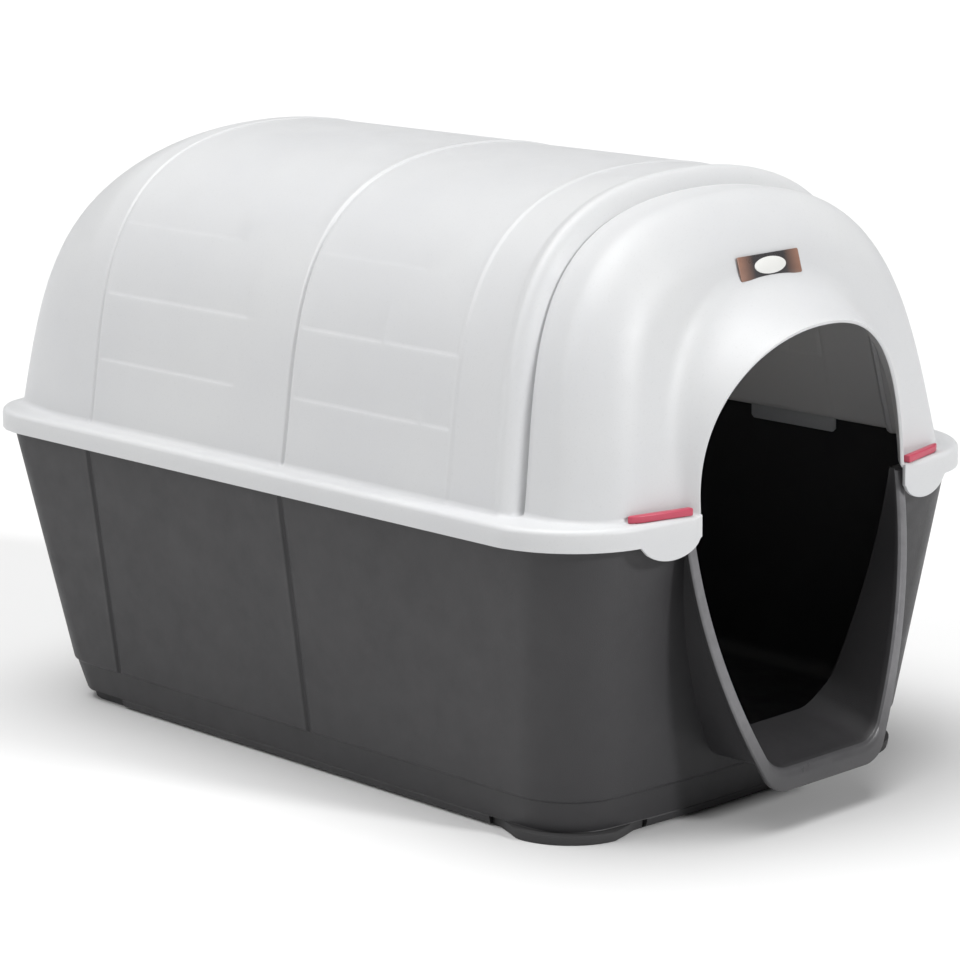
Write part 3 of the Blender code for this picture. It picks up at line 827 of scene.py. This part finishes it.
# Seams of the tub's sides: place along the length, and how far the panel behind it stands proud
TUB_SEAMS = ((-0.009, 0.0016), (0.355, 0.0013))


def tub_marks():
    """Places along the tub's sides, close together at the seams."""
    marks = [-0.395 + 0.02 * k for k in range(45)]
    for seam, _ in TUB_SEAMS:
        marks = [mark for mark in marks if abs(mark - seam) > 0.012]
        marks += [seam + offset for offset in (-0.010, -0.006, -0.0036, -0.0022, -0.0010, 0.0, 0.0010,
                                               0.0022, 0.005, 0.009)]
    return sorted(marks)


MARKS = tub_marks()


def tub_points(inset, z, relief=False):
    """The tub's outline at height z, drawn in by an inset. relief adds the seams of its sides."""
    drop = RIM_LOW_Z - z
    ring = outline_points(
        HALF_WIDTH - TUB_SETBACK - drop * tan(SIDE_DRAFT) - inset,
        tub_front(z) + inset,
        RIM_REAR - TUB_SETBACK - drop * tan(REAR_DRAFT) - inset,
        TUB_FRONT_RADIUS - inset, TUB_REAR_RADIUS - inset, z, MARKS)
    if relief:
        count = len(MARKS)
        rear_end = 2 * (CORNER_STEPS + 1) + ACROSS_STEPS - 1
        right = ring[:count]
        left = ring[count + rear_end:2 * count + rear_end]
        for side, sign in ((right, 1), (left, -1)):
            y = side[:, 1]
            out = np.zeros(len(y))
            live = ramp(z, SKIRT_TOP_Z - 0.002, SKIRT_TOP_Z + 0.002)
            for seam, rise in TUB_SEAMS:
                fade = ramp(y, seam + 0.11, seam + 0.012)
                out += rise * ramp(y, seam - 0.0014, seam + 0.0014) * live * fade
                out -= 0.0010 * bump(y, seam - 0.0022, 0.0030) * live
                out += 0.0005 * bump(y, seam + 0.0026, 0.0036) * live
            side[:, 0] += sign * out
    return ring


def rim_outline(inset, z):
    """The rim's outline with the tub's point order."""
    return outline_points(HALF_WIDTH - inset, RIM_FRONT + inset, RIM_REAR - inset,
                          RIM_FRONT_RADIUS - inset, RIM_REAR_RADIUS - inset, z, MARKS)


def shrunk(ring, share, z):
    """A ring drawn towards its middle at height z, for floors."""
    scaled = ring * np.array([share, share, 1])
    scaled[:, 2] = z
    return scaled


def tub_shell():
    """The tub: underside, skirt, walls, flange, inside and floor as one closed surface."""
    under_z = FLOOR_Z - WALL
    rows = []

    def skirt(z):
        share = (SKIRT_TOP_Z - z) / (SKIRT_TOP_Z - SKIRT_LOW_Z)
        return SKIRT_INSET + (SKIRT_FOOT_INSET - SKIRT_INSET) * share

    # Underside, and the skirt's foot
    inner_foot = tub_points(SKIRT_INSET + WALL, under_z)
    rows += [shrunk(inner_foot, share, under_z) for share in (0.02, 0.3, 0.6, 0.9)]
    rows.append(inner_foot)
    for inset, z in ((WALL, SKIRT_LOW_Z + 0.001), (WALL - 0.001, SKIRT_LOW_Z), (0.0012, SKIRT_LOW_Z),
                     (0.0003, SKIRT_LOW_Z + 0.0006)):
        rows.append(tub_points(SKIRT_FOOT_INSET + inset, z))
    # Skirt with a fine line round it, the step over it, and the walls
    for z in (SKIRT_LOW_Z + 0.0018, 0.012, 0.0135, 0.0142, 0.030, SKIRT_TOP_Z - 0.004):
        rows.append(tub_points(skirt(z) + (0.0011 if 0.012 < z < 0.014 else 0.0), z))
    for rise, inset in ((-0.0018, SKIRT_INSET + 0.0004), (-0.0006, SKIRT_INSET - 0.0004), (0.0006, 0.0010),
                        (0.0020, 0.0002)):
        rows.append(tub_points(inset, SKIRT_TOP_Z + rise, True))
    for z in (0.0565, 0.060, 0.070, 0.085, 0.11, 0.14, 0.17, 0.20, 0.23, 0.26, 0.29, 0.32, 0.345):
        rows.append(tub_points(0.0, z, True))
    # Flange under the roof's rim
    flange_low = TUB_TOP_Z - WALL
    flange_inset = WALL + 0.001
    rows.append(tub_points(0.0, flange_low - 0.002))
    rows.append(tub_points(-0.002, flange_low))
    for inset, z in ((0.001, flange_low), (0, flange_low + 0.001), (0, TUB_TOP_Z - 0.001),
                     (0.001, TUB_TOP_Z)):
        rows.append(rim_outline(flange_inset + inset, z))
    # Inside of the walls, the fillet at the floor, and the floor
    rows.append(tub_points(WALL - 0.0015, TUB_TOP_Z))
    rows.append(tub_points(WALL, TUB_TOP_Z - 0.0015))
    for z in (0.32, 0.26, 0.20, 0.14, 0.10, FLOOR_Z + FLOOR_FILLET + 0.004):
        rows.append(tub_points(WALL, z))
    steps = 5
    for step in range(steps + 1):
        angle = pi / 2 * step / steps
        rows.append(tub_points(WALL + FLOOR_FILLET * (1 - cos(angle)),
                               FLOOR_Z + FLOOR_FILLET * (1 - sin(angle))))
    floor = rows[-1]
    for share in (0.97, 0.94, 0.935, 0.90, 0.6, 0.3, 0.02):
        rows.append(shrunk(floor, share, FLOOR_Z + (0.0015 if share < 0.937 else 0.0)))
    mesh = grid_mesh("tub", np.array(rows), wrap=True)
    close_ends(mesh)
    return new_piece("tub", mesh)


def porch_path(band, grow, top_z, levels=26, corner=12):
    """Half of the trough's section as (x, z), top to middle of the bottom. band moves from the outer
    outline to the front band's inner one."""
    def width_at(z):
        share = (z - PORCH_LOW_Z) / (TUB_TOP_Z - PORCH_LOW_Z)
        outer = PORCH_HALF_LOW + PORCH_SPREAD * share - PORCH_CURL * share ** 2
        return outer - band * (BAND_TOP + BAND_FLARE * np.exp(-2 * share)) + grow

    low = PORCH_LOW_Z + band * BAND_LOW - grow
    lean = atan((width_at(low + PORCH_CORNER) - width_at(low + PORCH_CORNER / 2)) / (PORCH_CORNER / 2))
    drop = top_z - low - PORCH_CORNER * (1 - sin(lean))
    points = []
    for step in range(levels + 1):
        z = top_z - drop * step / levels
        points.append((width_at(z), z))
    centre = (points[-1][0] - PORCH_CORNER * cos(lean), low + PORCH_CORNER)
    for step in range(1, corner + 1):
        angle = lean + (pi / 2 - lean) * step / corner
        points.append((centre[0] + PORCH_CORNER * cos(angle), centre[1] - PORCH_CORNER * sin(angle)))
    for step in range(1, 9):
        points.append((centre[0] * (1 - step / 8), low))
    return np.array(points)


def porch_edge(z):
    """Y of the trough's front edge at height z."""
    return PORCH_FRONT + PORCH_SLOPE * (z - PORCH_LOW_Z)


def porch_trough():
    """The trough of the doorway: a rolled front band and the chute that runs back through the wall."""
    top = TUB_TOP_Z - WALL / 2
    outer = porch_path(0, 0, top)
    inner = porch_path(1, 0, top)
    chute = porch_path(1, WALL, top)

    def placed(path, y_shift):
        edge = porch_edge(np.maximum(path[:, 1], PORCH_LOW_Z))
        return np.column_stack([path[:, 0], edge + y_shift, path[:, 1]])

    def stepped_in(path, toward, distance):
        way = toward - path
        return path + way / np.linalg.norm(way, axis=1)[:, None] * distance

    inside_y = tub_front(inner[:, 1]) + WALL + bow(inner[:, 0])
    outside_y = tub_front(chute[:, 1]) + WALL + bow(chute[:, 0])
    columns = []
    # Inside wall of the chute, rear to front; its floor falls towards the front edge
    start = placed(inner, BAND_THICK)[:, 1]
    floor_z = PORCH_LOW_Z + BAND_LOW
    at_floor = ramp(inner[:, 1], floor_z + 0.06, floor_z)
    for share in (1.0, 0.97, 0.75, 0.5, 0.25, 0.06):
        low = inner[:, 1] + SILL_FALL * share * at_floor
        along = start + (inside_y - start) * share
        columns.append(np.column_stack([inner[:, 0] - 0.0015 * share, along, low]))
    # Front band with rolled edges
    turns = (0, 0.4, 0.8, 1.2, pi / 2)
    for angle in turns:
        path = stepped_in(inner, outer, BAND_ROLL * sin(angle))
        columns.append(placed(path, BAND_ROLL * (1 - sin(angle))))
    columns.append(placed((inner + outer) / 2, 0.0))
    for angle in reversed(turns):
        path = stepped_in(outer, inner, BAND_ROLL * (1 - cos(angle)))
        columns.append(placed(path, BAND_ROLL * (1 - sin(angle))))
    columns.append(placed(outer, BAND_THICK - 0.001))
    columns.append(placed(outer + (chute - outer) * 0.05, BAND_THICK))
    columns.append(placed(chute + (outer - chute) * 0.05, BAND_THICK))
    begin = placed(chute, BAND_THICK)[:, 1]
    for share in (0.02, 0.3, 0.6, 0.9, 1.0):
        along = begin + (outside_y + 0.004 - begin) * share
        columns.append(np.column_stack([chute[:, 0], along, chute[:, 1]]))
    half = np.stack(columns, axis=1)
    mesh = grid_mesh("porch", mirrored(half), wrap=True)
    close_ends(mesh)
    return new_piece("porch", mesh)


def passage_cutter():
    """The opening of the trough through the tub's front wall."""
    path = porch_path(1, 0.0005, TUB_TOP_Z + 0.012)
    rows = [mirrored(np.column_stack([path[:, 0], np.full(len(path), y), path[:, 1]]))
            for y in PASSAGE_ENDS]
    mesh = grid_mesh("passage", np.array(rows), wrap=True)
    close_ends(mesh)
    return new_piece("passage", mesh)


# ---------------------------------------------------------------- small pieces

UPRIGHT = Matrix.Rotation(pi / 2, 4, 'X')


def key_places():
    """Name, place and turn of each key."""
    rear_y = RIM_REAR - KEY_SETBACK
    front_y = rim_front(KEY_X, KEY_SETBACK)
    return (
        ("front_left", -KEY_X, front_y, -KEY_TURN),
        ("front_right", KEY_X, front_y, KEY_TURN),
        ("rear_left", -KEY_X, rear_y, 0.0),
        ("rear_right", KEY_X, rear_y, 0.0),
    )


def key_slot_cutters(owner):
    """Boxes that cut the slots for the keys' blades through the rim."""
    long, thick, _ = KEY_BLADE
    size = (long + 2 * SLOT_ROOM, thick + 2 * SLOT_ROOM, SLOT_DEPTH)
    return [box_cutter(f"{owner}_slot_{label}", size, (x, y, RIM_TOP_Z), turn)
            for label, x, y, turn in key_places()]


def prism(name, outline, thickness):
    """A plate with an outline in X and Y, centred in Z."""
    mesh = bpy.data.meshes.new(name)
    form = bmesh.new()
    low = [form.verts.new((x, y, -thickness / 2)) for x, y in outline]
    high = [form.verts.new((x, y, thickness / 2)) for x, y in outline]
    form.faces.new(high)
    form.faces.new(list(reversed(low)))
    for k in range(len(outline)):
        j = (k + 1) % len(outline)
        form.faces.new((low[k], low[j], high[j], high[k]))
    bmesh.ops.recalc_face_normals(form, faces=form.faces)
    form.to_mesh(mesh)
    form.free()
    return new_piece(name, mesh)


def lock_key(label, x, y, turn):
    """A red key: a bar with a pointed outer end, and a notched blade below."""
    long, deep, tall = KEY_SIZE
    outline = [(-long / 2, -deep / 2), (long / 2 - 0.016, -deep / 2), (long / 2 - 0.004, -deep * 0.12),
               (long / 2, deep * 0.22), (long / 2 - 0.004, deep / 2), (-long / 2, deep / 2)]
    bar = prism(f"key_{label}", outline, tall)
    soften(bar, 0.0014, 3, 20)
    settle(bar)
    blade_long, blade_thick, blade_deep = KEY_BLADE
    half = blade_long / 2
    right = [(0.006, -blade_deep + 0.008), (0.010, -blade_deep), (half - 0.006, -blade_deep),
             (half, -blade_deep + 0.010), (half, 0.002)]
    profile = [(-x_out, z) for x_out, z in reversed(right)] + right
    blade = prism(f"key_blade_{label}", profile, blade_thick)
    move(blade, UPRIGHT)
    soften(blade, 0.0006, 2, 30)
    settle(blade)
    move(bar, Matrix.Translation((0, 0, tall / 2 + KEY_GAP)))
    join_into(bar, [blade])
    if x < 0:
        move(bar, Matrix.Scale(-1, 4, (1, 0, 0)))
        bar.data.flip_normals()
    move(bar, Matrix.Translation((x, y, RIM_TOP_Z)), Matrix.Rotation(turn, 4, 'Z'))
    shade_smooth(bar.data, 40)
    paint(bar, RED)
    return bar


def pad_inner_corner(label):
    """A foot pad's corner nearest the middle of the tub, and the signs of its sides in X and Y."""
    low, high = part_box(f"foot_pad_{label}")
    side_x = 1 if low.x > 0 else -1
    side_y = 1 if low.y > 0 else -1
    return low.x if side_x > 0 else high.x, low.y if side_y > 0 else high.y, side_x, side_y


def pad_room_cutter(label):
    """A box that clears the tub's skirt away where a foot pad goes."""
    edge_x, edge_y, side_x, side_y = pad_inner_corner(label)
    outer = Vector((0.45 * side_x, 0.60 * side_y, -0.01))
    inner = Vector((edge_x, edge_y, PAD_TOP_Z + 0.0006))
    return box_cutter(f"pad_room_{label}", [abs(side) for side in outer - inner], (outer + inner) / 2)


def foot_pad(label):
    """A rubber pad under one corner of the tub, cut from the tub's own outline."""
    edge_x, edge_y, side_x, side_y = pad_inner_corner(label)
    inset = PAD_FRONT_INSET if side_y < 0 else PAD_REAR_INSET
    rows = []

    def drawn(extra, z):
        """The pad's outline, which comes in under the skirt towards both of its ends."""
        wide, narrow = tub_points(inset + extra, z), tub_points(PAD_END_INSET + extra, z)
        room = np.minimum((wide[:, 0] - edge_x) * side_x, (wide[:, 1] - edge_y) * side_y)
        share = ramp(room, 0.004, 0.060)[:, None] if inset < 0 else 1.0
        return narrow + (wide - narrow) * share

    for z, extra in ((0.0, 0.0022), (0.0, 0.0012), (0.0008, 0.0003), (0.0020, 0.0), (0.0060, 0.0),
                     (PAD_TOP_Z - 0.0012, 0.0), (PAD_TOP_Z - 0.0003, 0.0004), (PAD_TOP_Z, 0.0012)):
        rows.append(drawn(extra, z))
    bottom = [shrunk(rows[0], share, 0.0) for share in (0.05, 0.5)]
    top = [shrunk(rows[-1], share, PAD_TOP_Z) for share in (0.5, 0.05)]
    mesh = grid_mesh(f"pad_{label}", np.array(bottom + rows + top), wrap=True)
    form = bmesh.new()
    form.from_mesh(mesh)
    fill_holes(form)
    for place, normal in (((edge_x, 0, 0), (-side_x, 0, 0)), ((0, edge_y, 0), (0, -side_y, 0))):
        parts = form.verts[:] + form.edges[:] + form.faces[:]
        bmesh.ops.bisect_plane(form, geom=parts, plane_co=place, plane_no=normal, clear_outer=True)
        fill_holes(form)
    bmesh.ops.recalc_face_normals(form, faces=form.faces)
    form.to_mesh(mesh)
    form.free()
    pad = new_piece(f"pad_{label}", mesh)
    soften(pad, 0.0008, 2, 60)
    settle(pad)
    paint(pad, RUBBER)
    return pad


def rounded_plate(name, wide, tall, corner, thickness, steps=6):
    """A plate in the XZ plane facing -Y with rounded corners."""
    outline = []
    for quarter, (sx, sz) in enumerate(((1, 1), (-1, 1), (-1, -1), (1, -1))):
        for step in range(steps + 1):
            angle = pi / 2 * (quarter + step / steps)
            outline.append((sx * (wide / 2 - corner) + corner * cos(angle),
                            sz * (tall / 2 - corner) + corner * sin(angle)))
    plate = prism(name, outline, thickness)
    move(plate, UPRIGHT)
    return plate


def name_badge():
    """A blank plate over the door with a raised oval field."""
    height = BADGE_Z - RIM_TOP_Z
    tilt = -atan(HOOD_LEAN + 2 * HOOD_CURL * height)
    place = Matrix.Translation((0, hood_face(0, height), BADGE_Z)) @ Matrix.Rotation(tilt, 4, 'X')
    wide, thick, tall = BADGE_SIZE
    plate = rounded_plate("badge", wide, tall, 0.0022, thick)
    soften(plate, 0.0004, 2, 30)
    settle(plate)
    move(plate, place, Matrix.Translation((0, -thick / 2 - BADGE_GAP, 0)))
    paint(plate, PRINT)
    half_wide, half_tall = BADGE_OVAL
    oval = [(half_wide * cos(a), half_tall * sin(a)) for a in np.linspace(0, 2 * pi, 49)[:-1]]
    field = prism("badge_field", oval, BADGE_FIELD)
    move(field, UPRIGHT)
    soften(field, 0.0003, 2, 30)
    settle(field)
    move(field, place, Matrix.Translation((0, -BADGE_GAP - thick - 0.4 * BADGE_FIELD, 0)))
    paint(field, LABEL)
    return plate, field


def tongues():
    """The two locating tongues that hang from the roof's rim inside the tub."""
    made = []
    rear, front = TONGUE_ENDS
    low, high, bevel = -0.016, 0.004, 0.004
    outline = [(front, low + bevel), (front + bevel, low), (rear - bevel, low), (rear, low + bevel),
               (rear, high), (front, high)]
    x = HALF_WIDTH - TUB_SETBACK - WALL - TONGUE_GAP - WALL / 2
    for side in (-1, 1):
        tongue = prism(f"tongue_{'left' if side < 0 else 'right'}", outline, WALL)
        move(tongue, Matrix.Translation((side * x, 0, RIM_TOP_Z - 0.0045)),
             Matrix.Rotation(pi / 2, 4, 'Z'), UPRIGHT)
        soften(tongue, 0.0010, 2, 30)
        settle(tongue)
        made.append(tongue)
    return made


# ---------------------------------------------------------------- build

roof = roof_shell()
cut(roof, key_slot_cutters("roof"))
join_into(roof, tongues())
shade_smooth(roof.data)
paint(roof, WHITE)
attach(roof, "roof")
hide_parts("roof_shell")

tub = tub_shell()
cut(tub, [passage_cutter()] + key_slot_cutters("tub") + [pad_room_cutter(label) for label in CORNERS])
paint(tub, CHARCOAL)
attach(tub, "tub")
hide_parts("base_tub")

porch = settle(porch_trough(), 50)
paint(porch, CHARCOAL, PAINTED_HIGHLIGHT)
# Faces of the front band get the material with the painted highlight
for polygon in porch.data.polygons:
    if polygon.center.y < porch_edge(max(polygon.center.z, PORCH_LOW_Z)) + BAND_ROLL + 0.0003:
        polygon.material_index = 1
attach(porch, "tub")

for label, x, y, turn in key_places():
    key = lock_key(label, x, y, turn)
    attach(key, f"key_{label}")
    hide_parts(f"lock_key_{label}")

for label in CORNERS:
    pad = foot_pad(label)
    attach(pad, "tub")
    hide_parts(f"foot_pad_{label}")

plate, field = name_badge()
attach(plate, "roof")
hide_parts("name_badge")
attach(field, "roof")


# ---------------------------------------------------------------- floor, light, camera

SKY_LIGHT = 0.16
SKY_BEHIND = 0.9
CAMERA_PLACE = (-2.8907, -2.9599, 1.2385)
CAMERA_TURN = (-0.76704, 0.21064, -0.00688)
CAMERA_LENS = 127.55775
CAMERA_SENSOR = 36
CAMERA_SHIFT = (0.01714, -0.03505)


def studio():
    """A pale floor with soft light from the front right, the left and the top."""
    mesh = bpy.data.meshes.new("floor")
    reach = 30.0
    mesh.from_pydata([(-reach, -reach, 0), (reach, -reach, 0), (reach, reach, 0), (-reach, reach, 0)], [],
                     [(0, 1, 2, 3)])
    floor = new_piece("floor", mesh)
    pale = bpy.data.materials.new("floor_pale")
    pale.use_nodes = True
    shader = pale.node_tree.nodes["Principled BSDF"]
    shader.inputs["Base Color"].default_value = (0.72, 0.72, 0.72, 1)
    shader.inputs["Roughness"].default_value = 0.9
    shader.inputs["Specular IOR Level"].default_value = 0.1
    paint(floor, pale)

    # A dim white sky, which is bright where it shows behind the floor
    world = bpy.data.worlds.new("studio")
    world.use_nodes = True
    tree = world.node_tree
    sky = tree.nodes["Background"]
    sky.inputs["Color"].default_value = (1, 1, 1, 1)
    seen = tree.nodes.new("ShaderNodeLightPath")
    strength = tree.nodes.new("ShaderNodeMath")
    strength.operation = 'MULTIPLY_ADD'
    strength.inputs[1].default_value = SKY_BEHIND
    strength.inputs[2].default_value = SKY_LIGHT
    tree.links.new(seen.outputs["Is Camera Ray"], strength.inputs[0])
    tree.links.new(strength.outputs["Value"], sky.inputs["Strength"])
    bpy.context.scene.world = world

    def sun(name, azimuth, elevation, spread, strength):
        """A soft directional light. azimuth is measured from the front, positive towards +X."""
        light = bpy.data.lights.new(name, 'SUN')
        light.energy = strength * pi
        light.angle = radians(spread)
        lamp = bpy.data.objects.new(name, light)
        bpy.context.scene.collection.objects.link(lamp)
        turn, rise = radians(azimuth), radians(elevation)
        toward = Vector((sin(turn) * cos(rise), -cos(turn) * cos(rise), sin(rise)))
        lamp.rotation_euler = toward.to_track_quat('Z', 'Y').to_euler()

    sun("key_light", 12, 26, 9, 0.64)
    sun("fill_light", -122, 30, 40, 0.30)
    sun("top_light", -120, 80, 50, 0.95)


def photo_camera():
    """The camera at the photograph's angle. Its turn is azimuth, elevation and roll in radians."""
    azimuth, elevation, roll = CAMERA_TURN
    back = Vector((sin(azimuth) * cos(elevation), -cos(azimuth) * cos(elevation), sin(elevation)))
    right = Vector((cos(azimuth), sin(azimuth), 0))
    up = back.cross(right)
    axis_x = cos(roll) * right + sin(roll) * up
    axis_y = -sin(roll) * right + cos(roll) * up
    data = bpy.data.cameras.new("camera")
    data.sensor_width = CAMERA_SENSOR
    data.lens = CAMERA_LENS
    data.shift_x, data.shift_y = CAMERA_SHIFT
    data.clip_end = 100
    data.dof.use_dof = False
    camera = bpy.data.objects.new("camera", data)
    bpy.context.scene.collection.objects.link(camera)
    turn = Matrix((axis_x, axis_y, back)).transposed().to_4x4()
    camera.matrix_world = Matrix.Translation(CAMERA_PLACE) @ turn
    bpy.context.scene.camera = camera


studio()
photo_camera()
bpy.context.scene.view_settings.view_transform = 'Standard'
